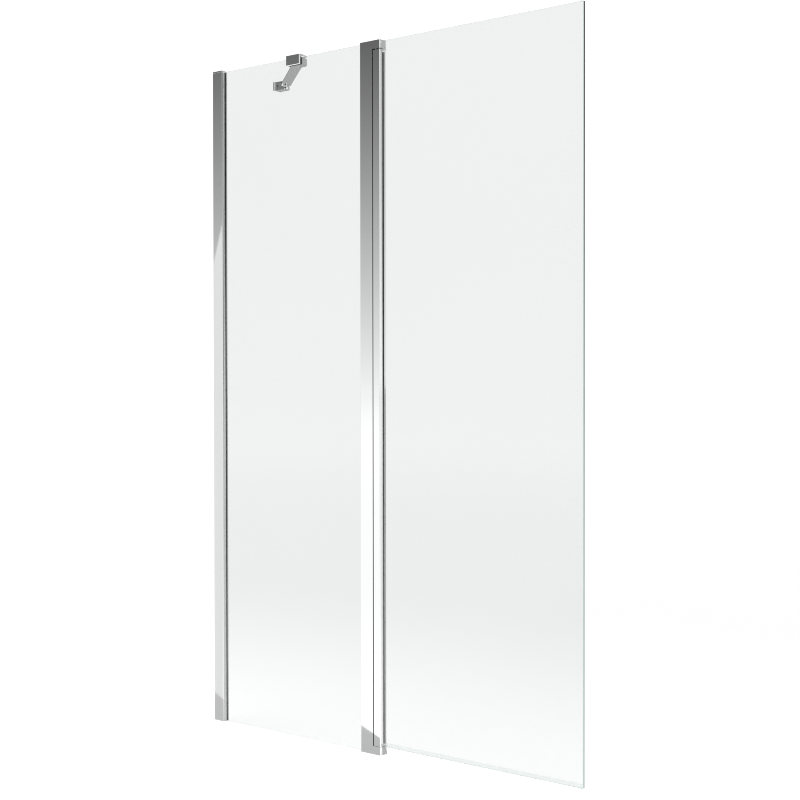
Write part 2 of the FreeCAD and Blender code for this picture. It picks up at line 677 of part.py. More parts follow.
def clamp_body():
    # A saddle over the glass edge whose rear block is forked for the arm's eye.
    front = -clamp_slot_half - CLAMP_FRONT
    solid = block(clamp_left, clamp_right, front, clamp_rear, clamp_bottom, clamp_top)
    rear_edges = [edge for edge in upright_edges(solid) if edge.BoundBox.YMin > clamp_rear - NEAR]
    solid = solid.makeFillet(CLAMP_REAR_ROUND, rear_edges)
    front_edges = [edge for edge in upright_edges(solid) if edge.BoundBox.YMax < front + NEAR]
    rims = level_edges(solid, clamp_top) + level_edges(solid, clamp_bottom)
    solid = solid.makeChamfer(FITTING_CHAMFER, front_edges + rims)
    pivot = point(CLAMP_FROM_WALL, clamp_pivot_y, clamp_bottom)
    past = SPARE + CLAMP_WIDTH / 2
    tools = [
        block(CLAMP_FROM_WALL - past, CLAMP_FROM_WALL + past, -clamp_slot_half, clamp_slot_half,
              clamp_bottom - SPARE, SCREEN_HEIGHT + CLAMP_PAD),
        block(CLAMP_FROM_WALL - past, CLAMP_FROM_WALL + past, clamp_fork_y, clamp_rear + SPARE,
              fork_bottom, fork_top),
        rod(PIVOT_SCREW_SHANK / 2 + SEAT_CLEARANCE, pivot, UP, CLAMP_HEIGHT - PIVOT_SCREW_COVER),
    ]
    for x, z in grub_places():
        start = point(x, clamp_slot_half, z)
        tools.append(rod(GRUB_DIAMETER / 2 + SEAT_CLEARANCE, start, ALONG_Y, clamp_rear))
    return cut_all(solid, tools)


def clamp_pad():
    # A soft liner on both faces and over the top edge of the glass.
    low = clamp_bottom + FITTING_CHAMFER
    outer = block(clamp_left, clamp_right, -clamp_slot_half, clamp_slot_half, low, SCREEN_HEIGHT + CLAMP_PAD)
    glass = block(clamp_left, clamp_right, -half_glass, half_glass, low, SCREEN_HEIGHT)
    return outer.cut(glass)


def clamp_grub_screws():
    screws = []
    for x, z in grub_places():
        screw = grub_screw(GRUB_DIAMETER, GRUB_LENGTH, GRUB_SOCKET)
        screws.append(placed(screw, point(x, clamp_slot_half + GRUB_LENGTH, z), BACK_Y))
    return screws


def pivot_screw(x, y, cheek_face, inward, depth):
    # A headless screw through both cheeks of a fork and the arm's eye.
    length = depth - PIVOT_SCREW_RECESS - PIVOT_SCREW_COVER
    screw = grub_screw(PIVOT_SCREW_SHANK, length, PIVOT_SCREW_SOCKET)
    return placed(screw, point(x, y, cheek_face) + inward * PIVOT_SCREW_RECESS, inward)


def clamp_pivot_screw():
    return pivot_screw(CLAMP_FROM_WALL, clamp_pivot_y, clamp_bottom, UP, CLAMP_HEIGHT)


def bracket_pivot_screw():
    return pivot_screw(BRACKET_PIVOT_FROM_WALL, BRACKET_FROM_GLASS, bracket_top, DOWN, BRACKET_HEIGHT)


def set_screw_height():
    return (bracket_bottom + fork_bottom) / 2


def set_screw_direction():
    turn = math.radians(SET_SCREW_TURN)
    return point(math.cos(turn), math.sin(turn), 0)


def wall_bracket():
    # A wall plate and a block with a round end, forked for the arm's far eye and bored for a wall stud.
    middle = BRACKET_FROM_GLASS
    half = BRACKET_LENGTH / 2
    low = bracket_bottom
    high = bracket_top
    plate = block(0, BRACKET_PLATE, middle - half, middle + half, low, high)
    face_rim = [edge for edge in plate.Edges if edge.BoundBox.XMin > BRACKET_PLATE - NEAR]
    plate = plate.makeChamfer(FITTING_CHAMFER, face_rim)
    fork_half = BRACKET_FORK_WIDTH / 2
    top_centre = point(BRACKET_PIVOT_FROM_WALL, middle, high)
    stem = block(0, BRACKET_PIVOT_FROM_WALL, middle - fork_half, middle + fork_half, low, high)
    stem = fuse_all(stem, [rod(fork_half, top_centre, DOWN, BRACKET_HEIGHT)])
    solid = fuse_all(plate, [stem])
    set_radius = SET_SCREW_DIAMETER / 2 + SEAT_CLEARANCE
    set_axis = point(BRACKET_PIVOT_FROM_WALL, middle, set_screw_height())
    tools = [
        block(bracket_fork_x, BRACKET_PIVOT_FROM_WALL + ARM_WIDTH, middle - half, middle + half,
              fork_bottom, fork_top),
        rod(PIVOT_SCREW_SHANK / 2 + SEAT_CLEARANCE, top_centre, DOWN, BRACKET_HEIGHT - PIVOT_SCREW_COVER),
        rod(set_radius, set_axis, set_screw_direction(), BRACKET_FORK_WIDTH),
        rod(STUD_BORE / 2, point(0, middle, arm_middle), ALONG_X, STUD_BORE_DEPTH),
        rod(set_radius, point(STUD_SCREW_FROM_WALL, middle, arm_middle), BACK_Y, BRACKET_FORK_WIDTH),
    ]
    return cut_all(solid, tools)


def bracket_set_screw():
    # Pinches the pivot screw, so that the screw stays with the bracket.
    outward = set_screw_direction()
    axis = point(BRACKET_PIVOT_FROM_WALL, BRACKET_FROM_GLASS, set_screw_height())
    screw = grub_screw(SET_SCREW_DIAMETER, set_screw_reach - PIVOT_SCREW_SHANK / 2, SET_SCREW_SOCKET)
    return placed(screw, axis + outward * set_screw_reach, outward * -1)


def bracket_stud_screw():
    # Pinches the wall stud from the side that faces the glass.
    screw = grub_screw(SET_SCREW_DIAMETER, set_screw_reach - STUD_BORE / 2, SET_SCREW_SOCKET)
    head_centre = point(STUD_SCREW_FROM_WALL, BRACKET_FROM_GLASS - set_screw_reach, arm_middle)
    return placed(screw, head_centre, ALONG_Y)


def main():
    os.makedirs("parts", exist_ok=True)
    save("wall_channel", [wall_channel()])
    save("wall_top_cap", [wall_top_cap()])
    save("lock_screws", lock_screws())
    save("lock_screw_covers", lock_screw_covers())
    save("jamb_profile", [jamb_profile()])
    save("jamb_gaskets", jamb_gaskets())
    save("fixed_glass", [fixed_glass()])
    save("hinge_post", [hinge_post()])
    save("post_gaskets", post_gaskets())
    save("pivot_seal", [pivot_seal()])
    save("post_top_cap", [post_cap(post_cap_top, post_top)])
    save("post_bottom_cap", [post_cap(0, post_bottom)])
    save("cap_screws", cap_screws())
    save("pivot_bushes", pivot_bushes())
    save("pivot_profile", [pivot_profile()])
    save("door_gaskets", door_gaskets())
    save("pivot_plates", pivot_plates())
    save("pivot_pins", pivot_pins())
    save("plate_screws", plate_screws())
    save("door_glass", [door_glass()])
    save("bottom_seal", [bottom_seal()])
    save("clamp_body", [clamp_body()])
    save("clamp_pad", [clamp_pad()])
    save("clamp_grub_screws", clamp_grub_screws())
    save("clamp_pivot_screw", [clamp_pivot_screw()])
    save("arm_bar", [arm_bar()])
    save("wall_bracket", [wall_bracket()])
    save("bracket_pivot_screw", [bracket_pivot_screw()])
    save("bracket_set_screw", [bracket_set_screw()])
    save("bracket_stud_screw", [bracket_stud_screw()])


main()
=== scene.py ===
import json
import math

import bpy
from mathutils import Matrix, Vector

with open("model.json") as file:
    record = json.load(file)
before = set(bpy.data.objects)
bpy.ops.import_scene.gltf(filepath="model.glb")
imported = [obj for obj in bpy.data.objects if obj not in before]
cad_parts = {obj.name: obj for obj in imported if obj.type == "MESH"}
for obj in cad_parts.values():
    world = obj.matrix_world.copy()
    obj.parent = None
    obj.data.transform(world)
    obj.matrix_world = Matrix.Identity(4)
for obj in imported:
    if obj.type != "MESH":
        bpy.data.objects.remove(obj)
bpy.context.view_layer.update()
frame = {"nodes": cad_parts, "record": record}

# Camera, fitted to the photo's long edges: metres, radians, millimetres of lens and pixels of filter
CAMERA_PLACE = (2.4264, -2.2820, 0.7887)
CAMERA_YAW = math.radians(39.399)
CAMERA_PITCH = math.radians(-0.792)
CAMERA_ROLL = math.radians(-0.077)
CAMERA_LENS = 63.9
CAMERA_SENSOR = 36.0
PIXEL_FILTER_WIDTH = 1.1

# Colours and the even stretch that several finishes share
WHITE = (1.0, 1.0, 1.0, 1.0)
BLACK = (0.0, 0.0, 0.0, 1.0)
EVEN = (1.0, 1.0, 1.0)

# Floor: lengths in metres, glows as radiance
FLOOR_DROP = 0.0006
FLOOR_HALF = 120.0
FLOOR_COLOUR = (0.25, 0.25, 0.25, 1.0)
FLOOR_ROUGHNESS = 0.9
FLOOR_MIDDLE = (0.5, 0.0, 0.0)
FLOOR_GLOW = 0.663
# Painted light: the floor a little brighter far off
FLOOR_FAR_GLOW = 0.04
FLOOR_FAR_START = 3.2
FLOOR_FAR_END = 14.0
# Painted pool of light along the screen's foot
POOL_GLOW = 0.27
POOL_REACH = 2.0
POOL_POWER = 2.0
POOL_STRETCH = (0.4, 1.0, 1.0)

# What polished faces mirror of the floor: shares of its glow, distances in metres, sines of angles
MIRROR_NEAR = 1.12
MIRROR_FAR = 0.92
MIRROR_NEAR_END = 13.0
MIRROR_FAR_START = 55.0
SHADE_WAY = Vector((-1.0, 1.0, 0.0)).normalized()
SHADE_START = 2.0
SHADE_END = 4.0
SHADE = 0.16
BEHIND_SHADE = 0.25
BEHIND_SHADE_END = 5.0
AHEAD_SHADE = 0.05
AHEAD_SHADE_START = 0.4
AHEAD_SHADE_END = 5.0
AHEAD_FULL = 0.3
AHEAD_END = 0.45

# Room: radiances, and heights as sines of the elevation
ROOM_LIGHT = 1.35
BACKDROP_LOW = 1.04
BACKDROP_HIGH = 1.085
BACKDROP_TOP = 0.2267
DARK_SIDE = Vector((-0.5, -0.35, 0.8)).normalized()
DARK_SIDE_START = 0.25
DARK_SIDE_FULL = 0.5
GRADIENT_LOW = -0.05
GRADIENT_HIGH = 0.25
DARK_SIDE_LOW = 1.09
DARK_SIDE_HIGH = 0.363
DARK_SIDE_POWER = 2.2
FAR_SIDE_START = 0.2
FAR_SIDE_FULL = 0.6
FAR_SIDE_LOW = 1.1
FAR_SIDE_HIGH = 0.42
CAMERA_SIDE_LOW = 1.13
CAMERA_SIDE_HIGH = 1.15
TWICE_MIRRORED = 0.4
VEILED_START = 0.0
VEILED_END = 0.15
VEILED_LOW = 1.24
VEILED_HIGH = 0.75

# Limits between the whole numbers of times that a ray was mirrored
MIRRORED_ONCE = 0.5
MIRRORED_TWICE = 1.5

# Painted shade, as grey cards that only polished faces mirror: corners in metres on the floor, and
# radiances
CARD_DROP = 0.0003
POST_CARD = ((0.450, -0.011), (0.510, -0.011), (0.4185, -0.1194), (0.2972, -0.1892))
POST_CARD_LIGHT = 0.54
WALL_CARD = ((-0.002, -0.009), (0.033, -0.009), (-0.1289, -0.1615), (-0.2217, -0.2151))
WALL_CARD_LIGHT = 0.565
SIDE_CARD_TOPS = (1.1816, 1.078)
SIDE_CARD_LIGHT = 0.82

# Glass: places in metres, and how far an edge turns away from the pane's faces, as a part of its normal
FREE_EDGE_START = 0.99
# Heights of the painted reflection on the door's free edge: dark above the first, pale below the second
EDGE_DARK_HEIGHT = 1.4
EDGE_PALE_HEIGHT = 0.3
TURNED_START = 0.5
TURNED_FULL = 0.6
SQUARE_START = 0.9
SQUARE_FULL = 0.95
GLASS_IOR = 1.5
GLASS_DARKEST = (0.828, 0.843, 0.836, 1.0)
GLASS_LIGHTEST = (0.836, 0.850, 0.843, 1.0)
GROUND_EDGE = (0.95, 0.97, 0.96, 1.0)
LEVEL_EDGE = (0.24, 0.40, 0.34, 1.0)
FREE_EDGE_CHAMFER = (0.56, 0.64, 0.625, 1.0)
# Painted reflection on the door's free edge: its colour at the foot and at the top
FREE_EDGE_FOOT = (0.34, 0.42, 0.405, 1.0)
FREE_EDGE_TOP = (0.008, 0.014, 0.012, 1.0)
# Painted glow on the glass's top and bottom edges: its strength and colour
EDGE_GLOW = 0.35
EDGE_GLOW_COLOUR = (0.97, 1.0, 0.985, 1.0)

# Gaskets: heights in metres between which painted light makes them paler, and a high index for their sheen
GASKET_DARK_HEIGHT = 1.15
GASKET_PALE_HEIGHT = 0.6
GASKET_IOR = 2.2

# Clear seal: a low index, so that the strip hardly shows, as in the photo
SEAL_IOR = 1.06

# Surface patterns: the span that most of a pattern fills, and depths of relief in metres
GRAIN_LOW = 0.3
GRAIN_HIGH = 0.7
WEAR_LOW = 0.35
WEAR_HIGH = 0.65
MOST_WEAR = 0.02
LINE_DEPTH = 0.0001
GRAIN_DEPTH = 0.0002
RIPPLE_DEPTH = 0.0004


# Node helpers

def place_value(tree, socket, value):
    """Sets a socket to a number or colour, or links another socket to it."""
    if isinstance(value, bpy.types.NodeSocket):
        tree.links.new(value, socket)
    elif value is not None:
        socket.default_value = value


def math_node(tree, operation, first, second=None):
    """A Math node, returned as its output socket."""
    made = tree.nodes.new("ShaderNodeMath")
    made.operation = operation
    for socket, value in zip(made.inputs, (first, second)):
        place_value(tree, socket, value)
    return made.outputs[0]


def vector_node(tree, operation, first, second):
    """A Vector Math node that gives a number, returned as its output socket."""
    made = tree.nodes.new("ShaderNodeVectorMath")
    made.operation = operation
    tree.links.new(first, made.inputs[0])
    made.inputs[1].default_value = second
    return made.outputs["Value"]


def map_range(tree, value, low, high, to_low=0.0, to_high=1.0, smooth=False):
    """Maps low..high to to_low..to_high, held at the ends."""
    made = tree.nodes.new("ShaderNodeMapRange")
    made.interpolation_type = "SMOOTHSTEP" if smooth else "LINEAR"
    made.clamp = True
    for socket, part in zip(made.inputs[:5], (value, low, high, to_low, to_high)):
        place_value(tree, socket, part)
    return made.outputs[0]


def mix_number(tree, factor, first, second):
    """Goes from first to second as factor goes from 0 to 1."""
    made = tree.nodes.new("ShaderNodeMix")
    made.data_type = "FLOAT"
    made.clamp_factor = True
    place_value(tree, made.inputs[0], factor)
    place_value(tree, made.inputs[2], first)
    place_value(tree, made.inputs[3], second)
    return made.outputs[0]


def mix_colour(tree, factor, first, second):
    """Goes from one colour to another as factor goes from 0 to 1."""
    made = tree.nodes.new("ShaderNodeMix")
    made.data_type = "RGBA"
    made.clamp_factor = True
    place_value(tree, made.inputs[0], factor)
    place_value(tree, made.inputs[6], first)
    place_value(tree, made.inputs[7], second)
    return made.outputs[2]


def surface_place(tree, stretch=EVEN):
    """The point on the surface, in metres of its object's frame, stretched along the axes."""
    coordinates = tree.nodes.new("ShaderNodeTexCoord")
    mapping = tree.nodes.new("ShaderNodeMapping")
    mapping.inputs["Scale"].default_value = stretch
    tree.links.new(coordinates.outputs["Object"], mapping.inputs["Vector"])
    return mapping.outputs[0]


def axis_parts(tree, vector):
    """The X, Y and Z sockets of a vector."""
    made = tree.nodes.new("ShaderNodeSeparateXYZ")
    tree.links.new(vector, made.inputs[0])
    return made.outputs


def mirror_ray(tree):
    """1 for a ray that a polished face sends out, and 0 for the others."""
    path = tree.nodes.new("ShaderNodeLightPath")
    return math_node(tree, "MULTIPLY", path.outputs["Is Reflection Ray"], path.outputs["Is Glossy Ray"])


def pattern(tree, scale, stretch=EVEN, detail=3.0, roughness=0.5):
    """A cloudy pattern from 0 to 1 on the surface, with scale in clouds per metre."""
    made = tree.nodes.new("ShaderNodeTexNoise")
    tree.links.new(surface_place(tree, stretch), made.inputs["Vector"])
    made.inputs["Scale"].default_value = scale
    made.inputs["Detail"].default_value = detail
    made.inputs["Roughness"].default_value = roughness
    return made.outputs["Fac"]


def draw_lines(tree):
    """The fine lines that drawing leaves along an extrusion."""
    return pattern(tree, scale=2600.0, stretch=(1.0, 1.0, 0.004), detail=2.0)


def skin(tree, shader, grain, darkest, lightest, smoothest, roughest, wear=None):
    """Lets a pattern lead the shader's colour and roughness. Wear adds to the roughness."""
    place_value(tree, shader.inputs["Base Color"], mix_colour(tree, grain, darkest, lightest))
    rough = map_range(tree, grain, GRAIN_LOW, GRAIN_HIGH, smoothest, roughest)
    if wear is not None:
        rough = math_node(tree, "ADD", rough, wear)
    place_value(tree, shader.inputs["Roughness"], rough)


def relief(tree, shader, height, strength, depth):
    """Lets a height pattern tilt the shader's surface."""
    made = tree.nodes.new("ShaderNodeBump")
    made.inputs["Strength"].default_value = strength
    made.inputs["Distance"].default_value = depth
    tree.links.new(height, made.inputs["Height"])
    tree.links.new(made.outputs[0], shader.inputs["Normal"])


def new_material(name):
    """An empty material with one Principled shader: returns the material, its tree and the shader."""
    made = bpy.data.materials.new(name)
    made.use_nodes = True
    tree = made.node_tree
    tree.nodes.clear()
    output = tree.nodes.new("ShaderNodeOutputMaterial")
    shader = tree.nodes.new("ShaderNodeBsdfPrincipled")
    tree.links.new(shader.outputs[0], output.inputs["Surface"])
    return made, tree, shader


def new_metal(name):
    """A material as new_material gives it, set to bare metal."""
    made, tree, shader = new_material(name)
    shader.inputs["Metallic"].default_value = 1.0
    return made, tree, shader


# Materials

def polished_aluminium():
    """Bright anodised extrusion, with faint draw lines along its length and slight wear."""
    made, tree, shader = new_metal("polished_aluminium_finish")
    lines = draw_lines(tree)
    wear = map_range(tree, pattern(tree, scale=7.0), WEAR_LOW, WEAR_HIGH, 0.0, MOST_WEAR)
    skin(
        tree, shader, lines, wear=wear, smoothest=0.03, roughest=0.06,
        darkest=(0.895, 0.90, 0.905, 1.0), lightest=(0.915, 0.918, 0.922, 1.0))
    relief(tree, shader, lines, strength=0.03, depth=LINE_DEPTH)
    return made


def satin_aluminium():
    """Anodised jamb, duller than the polished profiles, with draw lines along its length."""
    made, tree, shader = new_metal("satin_aluminium_finish")
    lines = draw_lines(tree)
    skin(
        tree, shader, lines, smoothest=0.08, roughest=0.16,
        darkest=(0.55, 0.555, 0.56, 1.0), lightest=(0.62, 0.625, 0.63, 1.0))
    relief(tree, shader, lines, strength=0.05, depth=LINE_DEPTH)
    return made


def chrome_fittings():
    """Plated castings, with the slight unevenness that polishing leaves."""
    made, tree, shader = new_metal("chrome_finish")
    haze = pattern(tree, scale=45.0, detail=4.0)
    skin(
        tree, shader, haze, smoothest=0.025, roughest=0.07,
        darkest=(0.88, 0.885, 0.89, 1.0), lightest=(0.91, 0.913, 0.915, 1.0))
    ripple = pattern(tree, scale=160.0, detail=2.0)
    relief(tree, shader, ripple, strength=0.04, depth=RIPPLE_DEPTH)
    return made


def clear_glass():
    """Toughened float glass with satin edges. The door's free edge has a painted reflection, darker
    towards the top, and the top and bottom edges have a painted glow.
    """
    made, tree, shader = new_material("clear_glass_finish")
    coordinates = tree.nodes.new("ShaderNodeTexCoord")
    facing = axis_parts(tree, coordinates.outputs["Normal"])
    sideways = math_node(tree, "ABSOLUTE", facing["X"])
    upwards = math_node(tree, "ABSOLUTE", facing["Z"])
    turned = math_node(tree, "MAXIMUM", sideways, upwards)
    is_edge = map_range(tree, turned, TURNED_START, TURNED_FULL)
    place = axis_parts(tree, coordinates.outputs["Object"])
    at_free_edge = math_node(tree, "GREATER_THAN", place["X"], FREE_EDGE_START)
    is_upright = map_range(tree, sideways, SQUARE_START, SQUARE_FULL)
    is_band = math_node(tree, "MULTIPLY", is_upright, at_free_edge)
    is_level = map_range(tree, upwards, SQUARE_START, SQUARE_FULL)
    from_inside = tree.nodes.new("ShaderNodeNewGeometry").outputs["Backfacing"]
    from_outside = math_node(tree, "SUBTRACT", 1.0, from_inside)
    is_level_outside = math_node(tree, "MULTIPLY", is_level, from_outside)

    face = mix_colour(tree, pattern(tree, scale=3.0, detail=1.0), GLASS_DARKEST, GLASS_LIGHTEST)
    # Painted reflection: the door's free edge goes from pale at the foot to dark at the top
    rising = map_range(tree, place["Z"], EDGE_PALE_HEIGHT, EDGE_DARK_HEIGHT, smooth=True)
    painted_edge_reflection = mix_colour(tree, rising, FREE_EDGE_FOOT, FREE_EDGE_TOP)
    ground = mix_colour(tree, at_free_edge, GROUND_EDGE, FREE_EDGE_CHAMFER)
    upright = mix_colour(tree, is_band, ground, painted_edge_reflection)
    edge = mix_colour(tree, is_level_outside, upright, LEVEL_EDGE)
    place_value(tree, shader.inputs["Base Color"], mix_colour(tree, is_edge, face, edge))

    # The socket's own value marks the material as glass where its link isn't followed
    shader.inputs["Transmission Weight"].default_value = 1.0
    place_value(tree, shader.inputs["Transmission Weight"], mix_number(tree, is_edge, 1.0, 0.0))
    # Painted glow on the top and bottom edges' chamfers, and on those edges where seen from inside the
    # pane
    painted_edge_glow = map_range(tree, upwards, TURNED_START, TURNED_FULL, 0.0, EDGE_GLOW)
    shader.inputs["Emission Color"].default_value = EDGE_GLOW_COLOUR
    place_value(tree, shader.inputs["Emission Strength"], mix_number(tree, is_level_outside, painted_edge_glow, 0.0))
    shader.inputs["Roughness"].default_value = 0.0
    shader.inputs["IOR"].default_value = GLASS_IOR
    return made


def dark_rubber():
    """Extruded rubber: matt, with a faint grain."""
    made, tree, shader = new_material("dark_rubber_finish")
    grain = pattern(tree, scale=1800.0, stretch=(1.0, 1.0, 0.15), detail=4.0)
    skin(
        tree, shader, grain, smoothest=0.45, roughest=0.62,
        darkest=(0.05, 0.05, 0.052, 1.0), lightest=(0.09, 0.09, 0.092, 1.0))
    relief(tree, shader, grain, strength=0.15, depth=GRAIN_DEPTH)
    return made


def grey_gasket():
    """Soft grey glazing strip with a satin skin, with painted light making it paler towards the foot."""
    made, tree, shader = new_material("grey_gasket_finish")
    grain = pattern(tree, scale=1500.0, stretch=(1.0, 1.0, 0.05))
    height = axis_parts(tree, surface_place(tree))["Z"]
    # Painted light: the gasket gets paler towards the foot
    painted_light_paling = map_range(tree, height, GASKET_DARK_HEIGHT, GASKET_PALE_HEIGHT, smooth=True)
    skin(
        tree, shader, grain, smoothest=0.22, roughest=0.34,
        darkest=mix_colour(tree, painted_light_paling, (0.13, 0.13, 0.132, 1.0), (0.45, 0.45, 0.452, 1.0)),
        lightest=mix_colour(tree, painted_light_paling, (0.19, 0.19, 0.193, 1.0), (0.53, 0.53, 0.533, 1.0)))
    relief(tree, shader, grain, strength=0.1, depth=GRAIN_DEPTH)
    shader.inputs["IOR"].default_value = GASKET_IOR
    return made


def clear_seal():
    """Clear flexible strip, slightly cloudy."""
    made, tree, shader = new_material("clear_seal_finish")
    cloud = pattern(tree, scale=120.0, stretch=(0.2, 1.0, 1.0))
    skin(
        tree, shader, cloud, smoothest=0.04, roughest=0.16,
        darkest=(0.93, 0.95, 0.945, 1.0), lightest=(0.97, 0.98, 0.978, 1.0))
    shader.inputs["Transmission Weight"].default_value = 1.0
    shader.inputs["IOR"].default_value = SEAL_IOR
    return made


def white_nylon():
    """Turned nylon: off-white, soft sheen and fine turning rings."""
    made, tree, shader = new_material("white_nylon_finish")
    grain = pattern(tree, scale=500.0, stretch=(1.0, 1.0, 6.0))
    skin(
        tree, shader, grain, smoothest=0.32, roughest=0.5,
        darkest=(0.80, 0.80, 0.77, 1.0), lightest=(0.88, 0.88, 0.86, 1.0))
    relief(tree, shader, grain, strength=0.1, depth=GRAIN_DEPTH)
    return made


def black_steel():
    """Blackened screws: a dark oily skin with a fine grain."""
    made, tree, shader = new_metal("black_steel_finish")
    grain = pattern(tree, scale=1900.0, detail=4.0, roughness=0.6)
    skin(
        tree, shader, grain, smoothest=0.32, roughest=0.5,
        darkest=(0.030, 0.030, 0.032, 1.0), lightest=(0.075, 0.075, 0.078, 1.0))
    relief(tree, shader, grain, strength=0.2, depth=GRAIN_DEPTH)
    return made


def stainless_steel():
    """Turned and drawn stainless steel, finely brushed."""
    made, tree, shader = new_metal("stainless_steel_finish")
    brush = pattern(tree, scale=900.0, stretch=(1.0, 1.0, 9.0))
    skin(
        tree, shader, brush, smoothest=0.18, roughest=0.34,
        darkest=(0.56, 0.565, 0.57, 1.0), lightest=(0.68, 0.685, 0.69, 1.0))
    relief(tree, shader, brush, strength=0.12, depth=GRAIN_DEPTH)
    return made


def dress(frame):
    """Gives every CAD node the finish of its material slot, or its own where it has one."""
    finishes = {
        "polished_aluminium": polished_aluminium(),
        "chrome_fittings": chrome_fittings(),
        "clear_glass": clear_glass(),
        "dark_rubber": dark_rubber(),
        "grey_gasket": grey_gasket(),
        "clear_seal": clear_seal(),
        "white_nylon": white_nylon(),
        "black_steel": black_steel(),
        "steel": stainless_steel(),
    }
    own_finishes = {"jamb_profile": satin_aluminium()}
    for part in frame["record"]["subparts"]:
        finish = own_finishes.get(part["node"], finishes[part["material_slot"]])
        for slot in frame["nodes"][part["node"]].material_slots:
            slot.material = finish


# Floor, cards, room and camera

def add_sheet(name, corners, finish):
    """A flat four-cornered stage piece."""
    mesh = bpy.data.meshes.new(name)
    mesh.from_pydata(corners, [], [(0, 1, 2, 3)])
    mesh.materials.append(finish)
    sheet = bpy.data.objects.new(name, mesh)
    bpy.context.scene.collection.objects.link(sheet)
    return sheet


def floor_glow(tree, distance):
    """The floor's painted light: a little brighter far off, and a painted pool of light along the screen's
    foot.
    """
    far_glow = FLOOR_GLOW + FLOOR_FAR_GLOW
    far = map_range(tree, distance, FLOOR_FAR_START, FLOOR_FAR_END, FLOOR_GLOW, far_glow, smooth=True)
    pool_middle = [middle * stretch for middle, stretch in zip(FLOOR_MIDDLE, POOL_STRETCH)]
    pool_distance = vector_node(tree, "DISTANCE", surface_place(tree, POOL_STRETCH), pool_middle)
    nearness = map_range(tree, pool_distance, 0.0, POOL_REACH, 1.0, 0.0)
    pool = math_node(tree, "POWER", nearness, POOL_POWER)
    return math_node(tree, "ADD", far, math_node(tree, "MULTIPLY", pool, POOL_GLOW))


def mirrored_floor(tree, place, distance):
    """The share of that brightness that polished faces mirror: less at the far left, behind and ahead."""
    along_shade = vector_node(tree, "DOT_PRODUCT", place, SHADE_WAY)
    left = map_range(tree, along_shade, SHADE_START, SHADE_END, 1.0, SHADE)
    parts = axis_parts(tree, place)
    is_behind = math_node(tree, "GREATER_THAN", parts["Y"], 0.0)
    behind_shade = map_range(tree, distance, 0.0, BEHIND_SHADE_END, BEHIND_SHADE, SHADE)
    behind = mix_number(tree, is_behind, 1.0, behind_shade)
    sideways = math_node(tree, "SUBTRACT", parts["X"], FLOOR_MIDDLE[0])
    turned = math_node(tree, "ABSOLUTE", math_node(tree, "DIVIDE", sideways, distance))
    straight = map_range(tree, turned, AHEAD_FULL, AHEAD_END, 1.0, 0.0, smooth=True)
    is_ahead = math_node(tree, "MULTIPLY", straight, math_node(tree, "LESS_THAN", parts["Y"], 0.0))
    ahead_shade = map_range(tree, distance, AHEAD_SHADE_START, AHEAD_SHADE_END, 1.0, AHEAD_SHADE)
    ahead = mix_number(tree, is_ahead, 1.0, ahead_shade)
    least = math_node(tree, "MINIMUM", math_node(tree, "MINIMUM", left, behind), ahead)
    faded = map_range(tree, distance, MIRROR_NEAR_END, MIRROR_FAR_START, MIRROR_NEAR, MIRROR_FAR)
    return math_node(tree, "MULTIPLY", least, faded)


def floor_finish():
    """Pale floor. Polished faces mirror it shaded."""
    made, tree, shader = new_material("floor_finish")
    place = surface_place(tree)
    distance = vector_node(tree, "DISTANCE", place, FLOOR_MIDDLE)
    share = mix_number(tree, mirror_ray(tree), 1.0, mirrored_floor(tree, place, distance))
    glow = math_node(tree, "MULTIPLY", floor_glow(tree, distance), share)
    tree.links.new(glow, shader.inputs["Emission Strength"])
    shader.inputs["Emission Color"].default_value = WHITE
    shader.inputs["Base Color"].default_value = FLOOR_COLOUR
    shader.inputs["Roughness"].default_value = FLOOR_ROUGHNESS
    shader.inputs["Specular IOR Level"].default_value = 0.0
    return made


def add_floor():
    """A plain pale floor just under the bath rim's level."""
    corners = [
        (x * FLOOR_HALF, y * FLOOR_HALF, -FLOOR_DROP)
        for x, y in ((-1, -1), (1, -1), (1, 1), (-1, 1))
    ]
    add_sheet("floor", corners, floor_finish())


def add_shade_card(name, corners, light):
    """A grey card of painted shade that shows only in polished faces."""
    made, tree, shader = new_material(name + "_finish")
    shader.inputs["Base Color"].default_value = BLACK
    shader.inputs["Specular IOR Level"].default_value = 0.0
    shader.inputs["Emission Color"].default_value = WHITE
    shader.inputs["Emission Strength"].default_value = light
    made.cycles.emission_sampling = "NONE"
    card = add_sheet(name, corners, made)
    card.visible_camera = False
    card.visible_diffuse = False
    card.visible_transmission = False
    card.visible_shadow = False


def add_shade_cards():
    """Painted reflections of the shaded floor at each profile's foot, and of the side of the room that the
    wall profile mirrors.
    """
    add_shade_card("post_shade_card", [(x, y, -CARD_DROP) for x, y in POST_CARD], POST_CARD_LIGHT)
    add_shade_card("wall_shade_card", [(x, y, -CARD_DROP) for x, y in WALL_CARD], WALL_CARD_LIGHT)
    right_foot, left_foot = WALL_CARD[2:]
    right_top, left_top = SIDE_CARD_TOPS
    add_shade_card("side_shade_card", [
        (*left_foot, -CARD_DROP), (*right_foot, -CARD_DROP),
        (*right_foot, right_top), (*left_foot, left_top),
    ], SIDE_CARD_LIGHT)


def far_side(tree, parts):
    """1 towards the room's far side, behind the screen, and 0 towards the camera's side."""
    return map_range(tree, parts["Y"], FAR_SIDE_START, FAR_SIDE_FULL, smooth=True)


